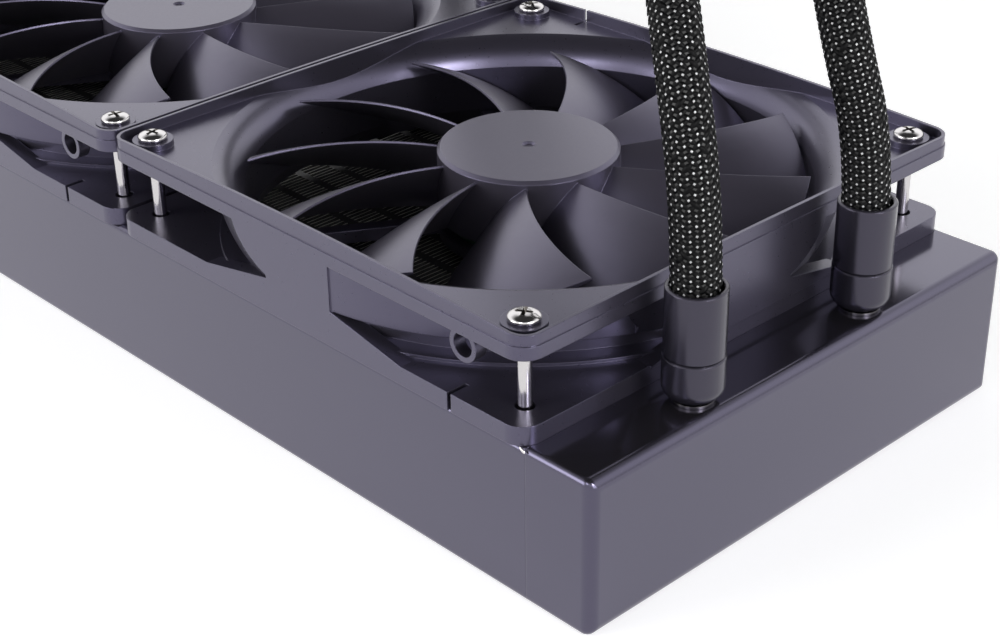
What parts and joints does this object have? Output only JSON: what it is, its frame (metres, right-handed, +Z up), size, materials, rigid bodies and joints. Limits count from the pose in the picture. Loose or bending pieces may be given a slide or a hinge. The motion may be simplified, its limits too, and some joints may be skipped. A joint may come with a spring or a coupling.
{
  "type": "processor liquid cooler",
  "caption": "Closed-loop liquid cooler for a computer processor: a flat radiator with square fans on top, braided hoses and a pump block with a cold plate.",
  "frame": {"origin": "middle of the radiator's screw-hole pattern, in the plane of its underside", "axes": "+Z up through the fans, +X along the radiator towards its hose end, +Y towards the side where the pump block lies"},
  "size_m": [0.317, 0.2299, 0.152],
  "materials": {
    "radiator_paint": "fine matt black powder coat",
    "core_paint": "thin matt black coat over aluminium",
    "fan_plastic": "fine-grained black moulding",
    "rotor_plastic": "satin black moulding",
    "bright_steel": "bright nickel plating",
    "hardened_steel": "ground",
    "yoke_steel": "pressed, thinly plated",
    "ferrite": "sintered, dull",
    "lamination_steel": "stacked sheets",
    "winding_copper": "enamelled copper wire",
    "board_laminate": "solder-masked glass laminate",
    "bearing_bronze": "sintered, oiled",
    "clip_nylon": "natural nylon",
    "fitting_black": "satin black coat on brass",
    "hose_braid": "black braided sleeve with light flecks",
    "copper": "machined copper",
    "rubber_black": "smooth",
    "pump_plastic": "fine-grained black moulding",
    "wheel_plastic": "natural glass-filled moulding",
    "cap_black": "polished black",
    "bracket_steel": "black coat"
  },
  "bodies": {
    "cooler": {"hose_end_tank": "radiator_paint", "far_end_tank": "radiator_paint", "hose_end_header": "core_paint", "far_end_header": "core_paint", "near_side_channel": "radiator_paint", "far_side_channel": "radiator_paint", "core_tubes": "core_paint", "core_fins": "core_paint", "core_side_plates": "core_paint", "fan_1_frame": "fan_plastic", "fan_1_stator": "lamination_steel", "fan_1_coils": "winding_copper", "fan_1_board": "board_laminate", "fan_1_bearing": "bearing_bronze", "fan_1_screws": "bright_steel", "fan_2_frame": "fan_plastic", "fan_2_stator": "lamination_steel", "fan_2_coils": "winding_copper", "fan_2_board": "board_laminate", "fan_2_bearing": "bearing_bronze", "fan_2_screws": "bright_steel", "near_fitting_body": "fitting_black", "near_fitting_collar": "bright_steel", "near_fitting_ferrule": "fitting_black", "near_pump_elbow": "fitting_black", "near_pump_ferrule": "fitting_black", "near_hose": "hose_braid", "far_fitting_body": "fitting_black", "far_fitting_collar": "bright_steel", "far_fitting_ferrule": "fitting_black", "far_pump_elbow": "fitting_black", "far_pump_ferrule": "fitting_black", "far_hose": "hose_braid", "cold_plate": "copper", "plate_screws": "bright_steel", "plate_gasket": "rubber_black", "pump_base": "pump_plastic", "impeller_shaft": "hardened_steel", "pump_divider": "pump_plastic", "pump_stator": "lamination_steel", "pump_coils": "winding_copper", "pump_board": "board_laminate", "pump_housing": "pump_plastic", "pump_cap": "cap_black", "pump_gland": "rubber_black", "pump_bracket": "bracket_steel"},
    "fan_1_rotor_set": {"fan_1_rotor": "rotor_plastic", "fan_1_shaft": "hardened_steel", "fan_1_yoke": "yoke_steel", "fan_1_magnet": "ferrite", "fan_1_clip": "clip_nylon"},
    "fan_2_rotor_set": {"fan_2_rotor": "rotor_plastic", "fan_2_shaft": "hardened_steel", "fan_2_yoke": "yoke_steel", "fan_2_magnet": "ferrite", "fan_2_clip": "clip_nylon"},
    "impeller_set": {"impeller": "wheel_plastic", "impeller_magnet": "ferrite"}
  },
  "joints": [
    {"name": "fan_1_spin", "type": "hinge", "parent": "cooler", "child": "fan_1_rotor_set", "pos_m": [0.07, 0, 0.05], "axis": [0, 0, 1], "continuous": true},
    {"name": "fan_2_spin", "type": "hinge", "parent": "cooler", "child": "fan_2_rotor_set", "pos_m": [-0.07, 0, 0.05], "axis": [0, 0, 1], "continuous": true},
    {"name": "impeller_spin", "type": "hinge", "parent": "cooler", "child": "impeller_set", "pos_m": [-0.118, 0.118, 0.02], "axis": [0, 0, 1], "continuous": true}
  ]
}
